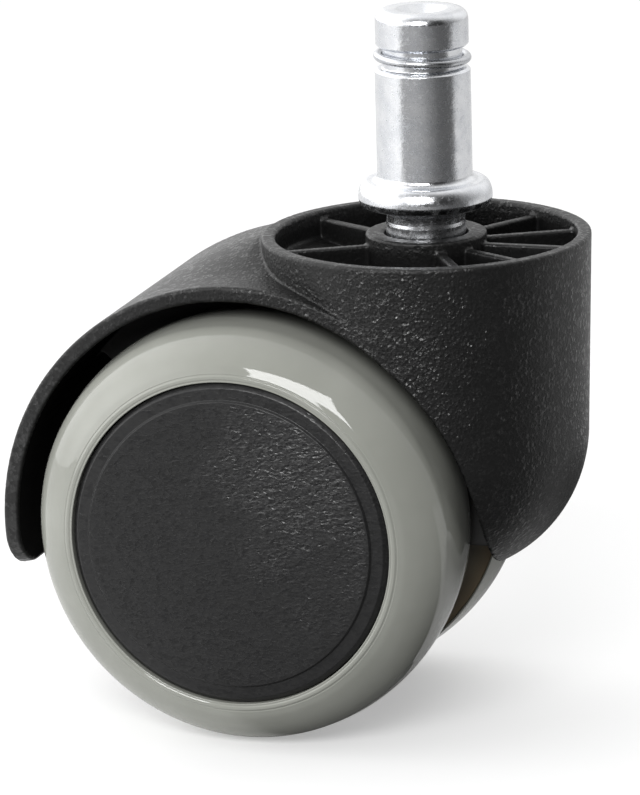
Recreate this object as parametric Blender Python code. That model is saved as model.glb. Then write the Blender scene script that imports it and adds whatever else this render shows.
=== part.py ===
"""Chair caster: two 50 mm wheels under a hooded housing, on an 11 mm grip-ring stem.

Frame: metres, +Z up. The origin is on the swivel axis, at the widest ring of the stem's collar.
The stem is on +Z, the axle runs along Y, and the wheels trail towards -X.
Run in Blender 4.5: blender --background --python part.py
"""

import math

import bmesh
import bpy
from mathutils import Matrix

MM = 0.001

# Driving dimensions: heights are measured from the collar's widest ring unless they say otherwise.
WHEEL_RADIUS = 25.0 * MM
TRAIL = 17.8 * MM
AXLE_Z = -36.6 * MM
RIM_ABOVE_AXLE = 32.4 * MM
AXLE_RADIUS = 4.0 * MM
RUNNING_GAP = 0.1 * MM
SEAT_GAP = 0.05 * MM

# Hood
DRUM_RADIUS = 19.05 * MM
DRUM_WALL = 1.6 * MM
CHIN_CENTRE_RADIUS = 2.45 * MM
CHIN_CENTRE_ABOVE_AXLE = 9.5 * MM
CHIN_HALF_WIDTH = 16.0 * MM
CHIN_DEPTH = 17.0 * MM
WHEEL_SPACE_RADIUS = 27.4 * MM
FENDER_RADIUS = 29.2 * MM
FENDER_HALF_WIDTH_FRONT = 18.5 * MM
FENDER_HALF_WIDTH_BACK = 17.0 * MM
FENDER_CORNER_RADIUS = 4.5 * MM
FENDER_END_DEG = 192.5
SADDLE_RISE = 3.1 * MM
RIB_ANGLES_DEG = (0, 30, -30, 60, -60, 150, -150)
RIB_THICKNESS = 1.2 * MM
RIB_BELOW_RIM = 1.0 * MM
BOSS_RADIUS = 7.0 * MM
BOSS_ABOVE_RIM = 0.2 * MM
PIN_TUBE_RADIUS = 5.6 * MM
PIN_TUBE_BOTTOM = 4.6 * MM
WEB_HALF_THICKNESS = 3.2 * MM
WEB_BOTTOM = -4.0 * MM
WEB_BACK_DEG = 141.0
AXLE_BOSS_RADIUS = 7.5 * MM

# Stem
STEM_LENGTH = 22.0 * MM
STEM_RADIUS = 5.5 * MM
STEM_TIP_RADIUS = 5.35 * MM
RING_GROOVE_RADIUS = 4.6 * MM
RING_GROOVE_BOTTOM = 15.2 * MM
RING_GROOVE_TOP = 17.7 * MM
COLLAR_RADIUS = 7.75 * MM
SHOULDER_Z = 2.1 * MM
SHOULDER_OUTER_RADIUS = 6.65 * MM
FLARE_RADIUS = 0.75 * MM
TIP_ROUND = 1.9 * MM
DIMPLE_RADIUS = 2.6 * MM
DIMPLE_DEPTH = 1.0 * MM
NECK_RADIUS = 4.6 * MM
NECK_BOTTOM = -9.8 * MM
PIN_RADIUS = 4.0 * MM
PIN_BOTTOM = -28.9 * MM
SNAP_GROOVE_TOP = -23.6 * MM
SNAP_GROOVE_BOTTOM = -24.8 * MM

# Wheel: distances from the hood's middle plane, outwards
HUB_INNER = 6.5 * MM
TREAD_INNER = 7.0 * MM
TREAD_MIDDLE = 12.75 * MM
CAP_FACE = 22.2 * MM
CORE_RIM_RADIUS = 20.2 * MM
CORE_FLANGE_RADIUS = 23.6 * MM
CORE_FLANGE_OUTER = 8.1 * MM
CORE_HUB_RADIUS = 7.6 * MM
CAP_RADIUS = 18.9 * MM
SPOKES = 12

# Facets round each shape
HOOD_FACETS = 64
WHEEL_FACETS = 40
STEM_FACETS = 32
FIT_FACETS = 24

MATERIALS = {
    "black_nylon": ((0.022, 0.022, 0.024), 0.55, 0.0),
    "cap_nylon": ((0.018, 0.018, 0.019), 0.5, 0.0),
    "core_nylon": ((0.13, 0.12, 0.09), 0.6, 0.0),
    "grey_polyurethane": ((0.36, 0.37, 0.34), 0.25, 0.0),
    "zinc_steel": ((0.85, 0.86, 0.88), 0.3, 1.0),
    "spring_steel": ((0.5, 0.51, 0.52), 0.35, 1.0),
    "axle_steel": ((0.56, 0.56, 0.57), 0.4, 1.0),
}


def clear_scene():
    """Remove the scene's objects."""
    for old in list(bpy.data.objects):
        bpy.data.objects.remove(old, do_unlink=True)


def material(name):
    """Return the named material, made on first use."""
    if name in bpy.data.materials:
        return bpy.data.materials[name]
    colour, roughness, metallic = MATERIALS[name]
    made = bpy.data.materials.new(name)
    made.use_nodes = True
    shader = made.node_tree.nodes["Principled BSDF"]
    shader.inputs["Base Color"].default_value = (*colour, 1.0)
    shader.inputs["Roughness"].default_value = roughness
    shader.inputs["Metallic"].default_value = metallic
    return made


def add_object(name, body, slot=None, parent=None, location=(0.0, 0.0, 0.0)):
    """Turn a bmesh into an object in the scene; without a slot it is a cutter or another operand."""
    bmesh.ops.recalc_face_normals(body, faces=body.faces)
    mesh = bpy.data.meshes.new(name)
    body.to_mesh(mesh)
    body.free()
    made = bpy.data.objects.new(name, mesh)
    made.location = location
    made.parent = parent
    bpy.context.scene.collection.objects.link(made)
    if slot is None:
        made.hide_render = True
        made.display_type = "WIRE"
        return made
    mesh.materials.append(material(slot))
    mesh.shade_smooth()
    mesh.set_sharp_from_angle(angle=math.radians(30))
    return made


def add_empty(name, location, parent=None):
    """Add an empty that carries a moving group."""
    made = bpy.data.objects.new(name, None)
    made.empty_display_size = 5.0 * MM
    made.location = location
    made.parent = parent
    bpy.context.scene.collection.objects.link(made)
    return made


def combine(target, tool, operation):
    """Add a Boolean of another object to the target."""
    step = target.modifiers.new(tool.name, "BOOLEAN")
    step.operation = operation
    step.object = tool
    step.solver = "EXACT"


def bridge(body, first, second):
    """Join two rings of vertices with faces; a ring of one vertex is a point on the axis."""
    count = max(len(first), len(second))
    for index in range(count):
        after = (index + 1) % count
        corners = []
        for ring, order in ((first, (index, after)), (second, (after, index))):
            if len(ring) == 1:
                corners.append(ring[0])
            else:
                corners.extend(ring[step] for step in order)
        body.faces.new(corners)


def turned(outline, facets):
    """Turn an outline of (radius, height) points about Z.

    An outline that starts and ends on the axis makes a solid, any other one closes into a ring.
    """
    body = bmesh.new()
    rings = []
    for radius, height in outline:
        if radius == 0.0:
            rings.append([body.verts.new((0.0, 0.0, height))])
            continue
        ring = []
        for step in range(facets):
            angle = math.tau * step / facets
            ring.append(body.verts.new((radius * math.cos(angle), radius * math.sin(angle), height)))
        rings.append(ring)
    if outline[0][0] > 0.0:
        rings.append(rings[0])
    for first, second in zip(rings, rings[1:]):
        bridge(body, first, second)
    return body


def cylinder(radius, bottom, top, facets):
    """A plain round bar about Z."""
    return turned([(0.0, bottom), (radius, bottom), (radius, top), (0.0, top)], facets)


def round_bar_along_y(radius, half_length, facets):
    """A plain round bar about Y, through the axle's centre."""
    body = cylinder(radius, -half_length, half_length, facets)
    body.transform(Matrix.Rotation(math.radians(90), 4, "X"))
    body.transform(Matrix.Translation((-TRAIL, 0.0, AXLE_Z)))
    return body


def arc(centre, radius, start_deg, end_deg, steps):
    """Points on an arc, both ends included."""
    points = []
    for step in range(steps + 1):
        angle = math.radians(start_deg + (end_deg - start_deg) * step / steps)
        points.append((centre[0] + radius * math.cos(angle), centre[1] + radius * math.sin(angle)))
    return points


def swept_band(outline, start_deg, end_deg, facets):
    """Sweep a closed (radius, height) outline part of the way round Z, with flat ends."""
    body = bmesh.new()
    sections = []
    for step in range(facets + 1):
        angle = math.radians(start_deg + (end_deg - start_deg) * step / facets)
        section = []
        for radius, height in outline:
            section.append(body.verts.new((radius * math.cos(angle), radius * math.sin(angle), height)))
        sections.append(section)
    for first, second in zip(sections, sections[1:]):
        bridge(body, first, second)
    body.faces.new(sections[0])
    body.faces.new(sections[-1])
    return body


# ---------------------------------------------------------------- hood

def drum_outline(inset, top):
    """The drum's outline from the chin to its open top, moved inwards by the inset."""
    half_width = CHIN_HALF_WIDTH - inset
    depth = CHIN_DEPTH - inset
    centre = AXLE_Z + CHIN_CENTRE_ABOVE_AXLE
    steps = 10
    points = [(0.0, centre - depth)]
    for step in range(steps + 1):
        angle = math.radians(-90 + 90 * step / steps)
        points.append((CHIN_CENTRE_RADIUS + half_width * math.cos(angle), centre + depth * math.sin(angle)))
    rim = AXLE_Z + RIM_ABOVE_AXLE
    points.append((DRUM_RADIUS - inset, rim + top))
    points.append((0.0, rim + top))
    return points


def fender_half_width(angle_deg):
    """The fender narrows towards its tail, and its two tail corners are round."""
    share = min(max((angle_deg - 65.0) / 60.0, 0.0), 1.0)
    width = FENDER_HALF_WIDTH_FRONT + (FENDER_HALF_WIDTH_BACK - FENDER_HALF_WIDTH_FRONT) * share
    left = math.radians(FENDER_END_DEG - angle_deg) * FENDER_RADIUS
    if left < FENDER_CORNER_RADIUS:
        run = FENDER_CORNER_RADIUS - left
        width -= FENDER_CORNER_RADIUS - math.sqrt(max(FENDER_CORNER_RADIUS ** 2 - run ** 2, 0.0))
    return width


def fender_outer_radius(angle_deg, across):
    """Distance from the axle to the fender's top, with the saddle that runs up to the drum's rim."""
    saddle_end_deg = 122.0
    saddle_length_deg = 30.0
    flat_half = 3.5 * MM
    fade_half = 10.0 * MM
    share = min(max((saddle_end_deg - angle_deg) / saddle_length_deg, 0.0), 1.0)
    rise = SADDLE_RISE * share ** 1.6
    fade = min(max((abs(across) - flat_half) / (fade_half - flat_half), 0.0), 1.0)
    radius = FENDER_RADIUS + rise * math.cos(fade * math.pi / 2) ** 2
    if 45.0 < angle_deg < 135.0:
        rim_limit = (RIM_ABOVE_AXLE - 0.3 * MM) / math.sin(math.radians(angle_deg))
        radius = min(radius, rim_limit)
    return radius


def fender_body():
    """A thick curved plate over the wheels; its underside is cut by the wheel space."""
    start_deg = 44.0
    inner_radius = 26.0 * MM
    shares = (-1.0, -0.78, -0.58, -0.46, -0.36, -0.27, -0.18, 0.0, 0.18, 0.27, 0.36, 0.46, 0.58, 0.78, 1.0)
    rows = 38
    tail_rows = 7
    corner_deg = math.degrees(FENDER_CORNER_RADIUS / FENDER_RADIUS)
    tail_start = FENDER_END_DEG - corner_deg
    angles = [start_deg + (tail_start - start_deg) * row / rows for row in range(rows)]
    for row in range(tail_rows + 1):
        turn = math.radians(90 * row / tail_rows)
        angles.append(tail_start + corner_deg * math.sin(turn))
    body = bmesh.new()
    sections = []
    for angle_deg in angles:
        angle = math.radians(angle_deg)
        half_width = fender_half_width(angle_deg)
        section = []
        for share in shares:
            across = half_width * share
            radius = fender_outer_radius(angle_deg, across)
            section.append(body.verts.new((radius * math.cos(angle), across, radius * math.sin(angle))))
        for share in reversed(shares):
            under = (inner_radius * math.cos(angle), half_width * share, inner_radius * math.sin(angle))
            section.append(body.verts.new(under))
        sections.append(section)
    for first, second in zip(sections, sections[1:]):
        bridge(body, first, second)
    body.faces.new(sections[0])
    body.faces.new(sections[-1])
    body.transform(Matrix.Translation((-TRAIL, 0.0, AXLE_Z)))
    return body


def ribs_body():
    """Upright plates from the boss to the drum's wall."""
    body = bmesh.new()
    bottom = AXLE_Z - 5.0 * MM
    top = AXLE_Z + RIM_ABOVE_AXLE - RIB_BELOW_RIM
    inner = 5.0 * MM
    outer = DRUM_RADIUS + 1.0 * MM
    size = (outer - inner, RIB_THICKNESS, top - bottom)
    centre = ((outer + inner) / 2, 0.0, (top + bottom) / 2)
    for angle_deg in RIB_ANGLES_DEG:
        place = Matrix.Rotation(math.radians(angle_deg), 4, "Z") @ Matrix.Translation(centre)
        bmesh.ops.create_cube(body, size=1.0, matrix=place @ Matrix.Diagonal((*size, 1.0)))
    return body


def web_body():
    """The upright plate between the wheels, from the drum and the fender down to the axle."""
    reach = (WHEEL_SPACE_RADIUS + FENDER_RADIUS) / 2
    front_deg = math.degrees(math.asin(WEB_BOTTOM / reach))
    outline = arc((0.0, 0.0), reach, front_deg, WEB_BACK_DEG, 50)
    outline.append((-6.5 * MM, 2.0 * MM))
    outline.append((-3.0 * MM, WEB_BOTTOM))
    body = bmesh.new()
    sides = []
    for across in (-WEB_HALF_THICKNESS, WEB_HALF_THICKNESS):
        sides.append([body.verts.new((x, across, z)) for x, z in outline])
    bridge(body, sides[0], sides[1])
    body.faces.new(sides[0])
    body.faces.new(sides[1])
    body.transform(Matrix.Translation((-TRAIL, 0.0, AXLE_Z)))
    return body


def boss_and_ribs(floor_cutter):
    """The middle boss and the ribs, cut to the inside of the drum."""
    top = AXLE_Z + RIM_ABOVE_AXLE + BOSS_ABOVE_RIM
    boss = add_object("boss_tool", cylinder(BOSS_RADIUS, AXLE_Z + 6.0 * MM, top, STEM_FACETS))
    ribs = add_object("ribs_tool", ribs_body())
    middle_outline = drum_outline(DRUM_WALL / 2, 2.0 * MM)
    middle_of_wall = add_object("drum_middle_tool", turned(middle_outline, HOOD_FACETS))
    combine(boss, ribs, "UNION")
    combine(boss, middle_of_wall, "INTERSECT")
    combine(boss, floor_cutter, "DIFFERENCE")
    return boss


def bore_body():
    """The blind hole for the stem's pin: a wide mouth, the bearing bore and the snap ring's recess."""
    mouth = NECK_RADIUS + 0.25 * MM
    bore = PIN_RADIUS + RUNNING_GAP
    recess = bore + 0.75 * MM
    top = AXLE_Z + RIM_ABOVE_AXLE + 5.0 * MM
    bottom = PIN_BOTTOM - 0.9 * MM
    outline = [
        (0.0, bottom),
        (bore, bottom),
        (bore, SNAP_GROOVE_BOTTOM - 0.3 * MM),
        (recess, SNAP_GROOVE_BOTTOM - 0.3 * MM),
        (recess, SNAP_GROOVE_TOP + 0.3 * MM),
        (bore, SNAP_GROOVE_TOP + 0.6 * MM),
        (bore, NECK_BOTTOM - 0.6 * MM),
        (mouth, NECK_BOTTOM - 0.1 * MM),
        (mouth, top),
        (0.0, top),
    ]
    return turned(outline, FIT_FACETS)


def make_hood(parent):
    """The one-piece nylon hood: drum, ribs, boss, fender, web and axle boss."""
    middle = (WHEEL_SPACE_RADIUS + FENDER_RADIUS) / 2
    wide = 30.0 * MM
    pockets = add_object("pocket_tool", turned(drum_outline(DRUM_WALL, 3.0 * MM), HOOD_FACETS))
    pocket_floor = add_object("pocket_floor_tool", round_bar_along_y(FENDER_RADIUS, wide, 96))
    combine(pockets, pocket_floor, "DIFFERENCE")
    fender = add_object("fender_tool", fender_body())
    inside_wall = DRUM_RADIUS - DRUM_WALL / 2
    fender_trim = add_object("fender_trim_tool", cylinder(inside_wall, AXLE_Z - wide, wide, HOOD_FACETS))
    combine(fender, fender_trim, "DIFFERENCE")
    wheel_space = add_object("wheel_space_tool", round_bar_along_y(WHEEL_SPACE_RADIUS, wide, 96))
    boss = boss_and_ribs(add_object("boss_floor_tool", round_bar_along_y(middle, wide, 80)))
    web = add_object("web_tool", web_body())
    tube_bottom = AXLE_Z + PIN_TUBE_BOTTOM
    tube_top = AXLE_Z + RIM_ABOVE_AXLE - 2.6 * MM
    tube = add_object("pin_tube_tool", cylinder(PIN_TUBE_RADIUS, tube_bottom, tube_top, STEM_FACETS))
    axle_boss = add_object("axle_boss_tool", round_bar_along_y(AXLE_BOSS_RADIUS, PIN_TUBE_RADIUS, FIT_FACETS))
    bore = add_object("bore_tool", bore_body())
    axle_hole = add_object("axle_hole_tool", round_bar_along_y(AXLE_RADIUS + SEAT_GAP, wide, FIT_FACETS))

    hood = add_object("hood", turned(drum_outline(0.0, 0.0), HOOD_FACETS), "black_nylon", parent)
    combine(hood, pockets, "DIFFERENCE")
    combine(hood, fender, "UNION")
    combine(hood, wheel_space, "DIFFERENCE")
    combine(hood, boss, "UNION")
    combine(hood, web, "UNION")
    combine(hood, tube, "UNION")
    combine(hood, axle_boss, "UNION")
    combine(hood, bore, "DIFFERENCE")
    combine(hood, axle_hole, "DIFFERENCE")
    return hood


# ---------------------------------------------------------------- stem

def stem_outline():
    """The turned stem from its pin's end to its tip, with the collar that meets the chair's socket."""
    flare_foot = STEM_RADIUS + FLARE_RADIUS
    chamfer = 0.3 * MM
    outline = [
        (0.0, PIN_BOTTOM),
        (2.6 * MM, PIN_BOTTOM),
        (3.5 * MM, PIN_BOTTOM + 0.4 * MM),
        (PIN_RADIUS, PIN_BOTTOM + 1.2 * MM),
        (PIN_RADIUS, SNAP_GROOVE_BOTTOM),
        (PIN_RADIUS - 0.6 * MM, SNAP_GROOVE_BOTTOM),
        (PIN_RADIUS - 0.6 * MM, SNAP_GROOVE_TOP),
        (PIN_RADIUS, SNAP_GROOVE_TOP),
        (PIN_RADIUS, NECK_BOTTOM - 0.5 * MM),
        (NECK_RADIUS, NECK_BOTTOM),
        (NECK_RADIUS, -1.9 * MM),
        (COLLAR_RADIUS - chamfer, -0.85 * MM),
        (COLLAR_RADIUS, -0.55 * MM),
    ]
    dome_bottom = 0.2 * MM
    dome_steps = 6
    for step in range(dome_steps + 1):
        turn = math.radians(90 * step / dome_steps)
        radius = SHOULDER_OUTER_RADIUS + (COLLAR_RADIUS - SHOULDER_OUTER_RADIUS) * math.cos(turn)
        outline.append((radius, dome_bottom + (SHOULDER_Z - dome_bottom) * math.sin(turn)))
    outline += arc((flare_foot, SHOULDER_Z + FLARE_RADIUS), FLARE_RADIUS, 270, 180, 3)
    outline += [
        (STEM_RADIUS, RING_GROOVE_BOTTOM - chamfer),
        (STEM_RADIUS - chamfer, RING_GROOVE_BOTTOM),
        (RING_GROOVE_RADIUS, RING_GROOVE_BOTTOM),
        (RING_GROOVE_RADIUS, RING_GROOVE_TOP),
        (STEM_TIP_RADIUS - chamfer, RING_GROOVE_TOP),
        (STEM_TIP_RADIUS, RING_GROOVE_TOP + chamfer),
    ]
    outline += arc((STEM_TIP_RADIUS - TIP_ROUND, STEM_LENGTH - TIP_ROUND), TIP_ROUND, 0, 90, 5)
    outline += [
        (DIMPLE_RADIUS, STEM_LENGTH),
        (DIMPLE_RADIUS * 0.45, STEM_LENGTH - DIMPLE_DEPTH * 0.85),
        (0.0, STEM_LENGTH - DIMPLE_DEPTH),
    ]
    return outline


def make_stem(parent):
    """The stem and the two spring rings it carries."""
    add_object("kingpin_stem", turned(stem_outline(), STEM_FACETS), "zinc_steel", parent)
    wire = 0.48 * MM
    grip_outer = 5.62 * MM
    grip_gap_deg = 90
    grip_half_gap_deg = 8
    ring_middle = (RING_GROOVE_TOP + RING_GROOVE_BOTTOM) / 2
    wire_outline = arc((grip_outer - wire, ring_middle), wire, 0, 300, 5)
    start = grip_gap_deg + grip_half_gap_deg
    end = 360 + grip_gap_deg - grip_half_gap_deg
    add_object("grip_ring", swept_band(wire_outline, start, end, 32), "spring_steel", parent)
    snap_half_gap_deg = 25
    inner = PIN_RADIUS - 0.45 * MM
    outer = PIN_RADIUS + 0.65 * MM
    low = SNAP_GROOVE_BOTTOM + 0.15 * MM
    high = SNAP_GROOVE_TOP - 0.15 * MM
    flat_wire = ring_outline(inner, outer, low, high)
    snap = swept_band(flat_wire, snap_half_gap_deg, 360 - snap_half_gap_deg, 24)
    add_object("stem_snap_ring", snap, "spring_steel", parent)


# ---------------------------------------------------------------- wheels

def tread_outline():
    """The polyurethane tyre: it wraps the core's flange, and its outer side slopes in to the cap."""
    crown_drop = 0.65 * MM
    half_crown = 4.9 * MM
    lip_face = 21.9 * MM
    seat_end = 18.3 * MM
    seat = CORE_RIM_RADIUS + SEAT_GAP
    wrap = CORE_FLANGE_RADIUS + SEAT_GAP
    flange_side = CORE_FLANGE_OUTER + SEAT_GAP
    lip_bore = CAP_RADIUS + 0.15 * MM
    outline = [(seat, flange_side), (wrap, flange_side), (wrap, TREAD_INNER)]
    steps = 6
    for step in range(steps + 1):
        place = -1.0 + 2.0 * step / steps
        outline.append((WHEEL_RADIUS - crown_drop * place * place, TREAD_MIDDLE + half_crown * place))
    sloping_side = [
        (23.6 * MM, 19.0 * MM),
        (22.4 * MM, 20.3 * MM),
        (21.0 * MM, 21.3 * MM),
        (19.6 * MM, 21.95 * MM),
    ]
    return outline + sloping_side + [(lip_bore, lip_face), (lip_bore, seat_end), (seat, seat_end)]


def core_outline():
    """The nylon wheel body without its spokes: hub, disc, rim and the flange on the inner side."""
    bore = AXLE_RADIUS + RUNNING_GAP
    outer_hub_radius = 7.2 * MM
    hub_outer = 17.4 * MM
    disc_inner = 12.6 * MM
    disc_outer = 14.4 * MM
    rim_bore = 17.9 * MM
    rim_outer = 18.2 * MM
    flange_bore = 18.3 * MM
    flange_inner = TREAD_INNER + 0.1 * MM
    return [
        (bore, HUB_INNER),
        (CORE_HUB_RADIUS, HUB_INNER),
        (CORE_HUB_RADIUS, disc_inner),
        (rim_bore, disc_inner),
        (flange_bore, flange_inner),
        (CORE_FLANGE_RADIUS, flange_inner),
        (CORE_FLANGE_RADIUS, CORE_FLANGE_OUTER),
        (CORE_RIM_RADIUS, CORE_FLANGE_OUTER),
        (CORE_RIM_RADIUS, rim_outer),
        (rim_bore, rim_outer),
        (rim_bore, disc_outer),
        (outer_hub_radius, disc_outer),
        (outer_hub_radius, hub_outer),
        (bore, hub_outer),
    ]


def spokes_body():
    """Flat spokes on the core's inner side, from the hub to the rim."""
    body = bmesh.new()
    inner = 6.6 * MM
    outer = 18.9 * MM
    thickness = 1.3 * MM
    near_side = 8.1 * MM
    far_side = 13.1 * MM
    size = (outer - inner, thickness, far_side - near_side)
    centre = ((outer + inner) / 2, 0.0, (far_side + near_side) / 2)
    for spoke in range(SPOKES):
        turn = Matrix.Rotation(math.tau * (spoke + 0.5) / SPOKES, 4, "Z")
        place = turn @ Matrix.Translation(centre) @ Matrix.Diagonal((*size, 1.0))
        bmesh.ops.create_cube(body, size=1.0, matrix=place)
    return body


def cap_outline():
    """The push-in hub cap: a flat disc, a step, a rim and the snap skirt behind."""
    disc_radius = 16.7 * MM
    disc_back = CAP_FACE - 1.8 * MM
    rim_back = CAP_FACE - 2.4 * MM
    skirt_radius = 17.4 * MM
    skirt_bore = 16.2 * MM
    skirt_end = 15.6 * MM
    return [
        (0.0, CAP_FACE),
        (disc_radius, CAP_FACE),
        (disc_radius + 0.45 * MM, CAP_FACE - 0.3 * MM),
        (CAP_RADIUS - 0.4 * MM, CAP_FACE - 0.35 * MM),
        (CAP_RADIUS, CAP_FACE - 0.75 * MM),
        (CAP_RADIUS, rim_back),
        (skirt_radius, rim_back),
        (skirt_radius, skirt_end),
        (skirt_bore, skirt_end),
        (skirt_bore, disc_back),
        (0.0, disc_back),
    ]


def make_wheel(side, turn_deg, parent):
    """One wheel: core, tyre, cap and the washers and clip on its half of the axle."""
    hub = add_empty("wheel_" + side, (-TRAIL, 0.0, AXLE_Z), parent)
    face_outwards = Matrix.Rotation(math.radians(turn_deg), 4, "X")

    core = turned(core_outline(), WHEEL_FACETS)
    core.transform(face_outwards)
    core_object = add_object("wheel_core_" + side, core, "core_nylon", hub)
    spokes = spokes_body()
    spokes.transform(face_outwards)
    combine(core_object, add_object("spokes_tool_" + side, spokes, None, hub), "UNION")

    tread = turned(tread_outline(), WHEEL_FACETS)
    tread.transform(face_outwards)
    add_object("tread_" + side, tread, "grey_polyurethane", hub)

    cap = turned(cap_outline(), WHEEL_FACETS)
    cap.transform(face_outwards)
    add_object("hub_cap_" + side, cap, "cap_nylon", hub)


def ring_outline(inner, outer, low, high):
    """A flat ring's outline."""
    return [(inner, low), (outer, low), (outer, high), (inner, high)]


def make_axle(parent):
    """The axle with the washers and push-on clips that keep the wheels on it."""
    axle_end = 19.4 * MM
    chamfer = 0.4 * MM
    outline = [
        (0.0, -axle_end),
        (AXLE_RADIUS - chamfer, -axle_end),
        (AXLE_RADIUS, -axle_end + chamfer),
        (AXLE_RADIUS, axle_end - chamfer),
        (AXLE_RADIUS - chamfer, axle_end),
        (0.0, axle_end),
    ]
    place = (-TRAIL, 0.0, AXLE_Z)
    axle = turned(outline, FIT_FACETS)
    axle.transform(Matrix.Rotation(math.radians(90), 4, "X"))
    add_object("axle", axle, "axle_steel", parent, place)
    bore = AXLE_RADIUS + SEAT_GAP
    thrust_radius = 7.2 * MM
    thrust_sides = (5.75 * MM, 6.3 * MM)
    retaining_radius = 6.8 * MM
    retaining_sides = (17.6 * MM, 18.1 * MM)
    clip_radius = 6.4 * MM
    clip_cone_radius = 5.2 * MM
    clip_inner = 18.25 * MM
    clip_flat = 18.65 * MM
    clip_tip = 19.05 * MM
    rings = {
        "thrust_washer": ring_outline(bore, thrust_radius, *thrust_sides),
        "retaining_washer": ring_outline(bore, retaining_radius, *retaining_sides),
        "axle_clip": [
            (bore, clip_inner),
            (clip_radius, clip_inner),
            (clip_radius, clip_flat),
            (clip_cone_radius, clip_flat),
            (bore, clip_tip),
        ],
    }
    for name, ring in rings.items():
        for side, turn_deg in (("right", 90), ("left", -90)):
            body = turned(ring, FIT_FACETS)
            body.transform(Matrix.Rotation(math.radians(turn_deg), 4, "X"))
            add_object(name + "_" + side, body, "spring_steel", parent, place)


def make_thrust_disc(parent):
    """The steel disc that the pin's end turns on."""
    running_gap = 0.2 * MM
    thickness = 0.6 * MM
    top = PIN_BOTTOM - running_gap
    disc = cylinder(PIN_RADIUS, top - thickness, top, FIT_FACETS)
    add_object("thrust_disc", disc, "spring_steel", parent)


def main():
    clear_scene()
    make_stem(None)
    swivel = add_empty("swivel", (0.0, 0.0, 0.0))
    make_hood(swivel)
    make_thrust_disc(swivel)
    make_axle(swivel)
    make_wheel("right", 90, swivel)
    make_wheel("left", -90, swivel)


main()
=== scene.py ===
"""Chair caster: the looks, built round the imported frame.

Frame: metres, +Z up, the swivel axis on Z, the axle along Y, the wheels trailing towards -X.
The hood is a smooth distance field that is meshed here, and the round pieces are turned outlines.
"""

import functools
import math

import bmesh
import bpy
import numpy as np
from mathutils import Matrix, Vector


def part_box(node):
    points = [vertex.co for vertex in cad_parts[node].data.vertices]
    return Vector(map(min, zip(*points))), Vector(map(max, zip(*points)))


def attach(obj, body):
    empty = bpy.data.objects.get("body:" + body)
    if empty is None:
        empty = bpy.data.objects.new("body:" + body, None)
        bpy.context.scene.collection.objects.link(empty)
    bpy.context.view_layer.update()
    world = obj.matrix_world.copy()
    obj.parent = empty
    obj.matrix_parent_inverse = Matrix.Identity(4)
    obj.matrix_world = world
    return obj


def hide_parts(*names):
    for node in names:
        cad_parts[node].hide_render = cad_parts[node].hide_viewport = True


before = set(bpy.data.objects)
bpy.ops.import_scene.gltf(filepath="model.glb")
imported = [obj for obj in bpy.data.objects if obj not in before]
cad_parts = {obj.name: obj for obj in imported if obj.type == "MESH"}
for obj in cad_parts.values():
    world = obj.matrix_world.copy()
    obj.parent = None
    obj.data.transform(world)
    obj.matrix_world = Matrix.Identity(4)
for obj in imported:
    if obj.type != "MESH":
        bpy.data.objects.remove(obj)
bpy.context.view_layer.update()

MM = 0.001


def centre_and_half(node):
    """The middle of a CAD node's box and its half sizes."""
    low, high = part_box(node)
    return (low + high) / 2, (high - low) / 2


# Read off the frame
AXLE, AXLE_HALF = centre_and_half("axle")
AXLE_RADIUS = AXLE_HALF.z
HOOD_LOW, HOOD_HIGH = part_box("hood")
TREAD_LOW, TREAD_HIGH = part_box("tread_right")
STEM_LOW, STEM_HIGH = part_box("kingpin_stem")
WHEEL_RADIUS = (TREAD_HIGH.z - TREAD_LOW.z) / 2
FLOOR_Z = TREAD_LOW.z
DRUM_RADIUS = HOOD_HIGH.x
FENDER_RADIUS = AXLE.x - HOOD_LOW.x
BOSS_TOP = HOOD_HIGH.z - AXLE.z

# Hood: heights are measured from the axle
RIM_TOP = BOSS_TOP - 0.2 * MM
DRUM_WALL = 1.6 * MM
DRUM_WALL_OVERRUN = 1.2
CHIN_CENTRE_RADIUS = 2.45 * MM
CHIN_CENTRE_HEIGHT = 9.5 * MM
CHIN_HALF_WIDTH = 16.0 * MM
CHIN_DEPTH = 17.0 * MM
WHEEL_SPACE_RADIUS = 27.4 * MM
FENDER_HALF_WIDTH_FRONT = 18.5 * MM
FENDER_HALF_WIDTH_BACK = 17.0 * MM
FENDER_CORNER_RADIUS = 4.5 * MM
FENDER_NARROWS_FROM_DEG = 65.0
FENDER_NARROWS_OVER_DEG = 60.0
FENDER_TOP = RIM_TOP - 0.3 * MM
FENDER_LEAST_STEEPNESS = 0.6
FENDER_START = math.radians(44.0)
FENDER_END = math.radians(192.5)
SADDLE_RISE = 2.9 * MM
SADDLE_POWER = 1.6
SADDLE_END = math.radians(122.0)
SADDLE_LENGTH = math.radians(30.0)
SADDLE_FLAT = 2.5 * MM
SADDLE_HALF_WIDTH = 14.0 * MM
RIB_ANGLES_DEG = (0, 30, -30, 60, -60, 150, -150)
RIB_HALF_THICKNESS = 0.6 * MM
RIB_START = 5.0 * MM
RIB_TOP = RIM_TOP - 1.0 * MM
BOSS_RADIUS = 7.0 * MM
PIN_TUBE_RADIUS = 5.6 * MM
PIN_TUBE_BOTTOM = 4.6 * MM
WEB_HALF_THICKNESS = 3.2 * MM
WEB_BOTTOM = -4.0 * MM
WEB_BACK = math.radians(141.0)
WEB_BACK_FOOT = Vector((-6.5 * MM, 2.0 * MM))
AXLE_BOSS_RADIUS = 7.5 * MM
AXLE_BOSS_HALF_LENGTH = 5.6 * MM
EDGE = 0.35 * MM
FINE_EDGE = 0.28 * MM
CREASE = 0.25 * MM
FILLET = 0.6 * MM
PRESS_FIT = 0.05 * MM
RUNNING_FIT = 0.1 * MM
SNAP_RECESS_DEPTH = 0.85 * MM
NECK_ROOM = 0.25 * MM
DISC_ROOM_DEPTH = 1.1 * MM
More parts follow.
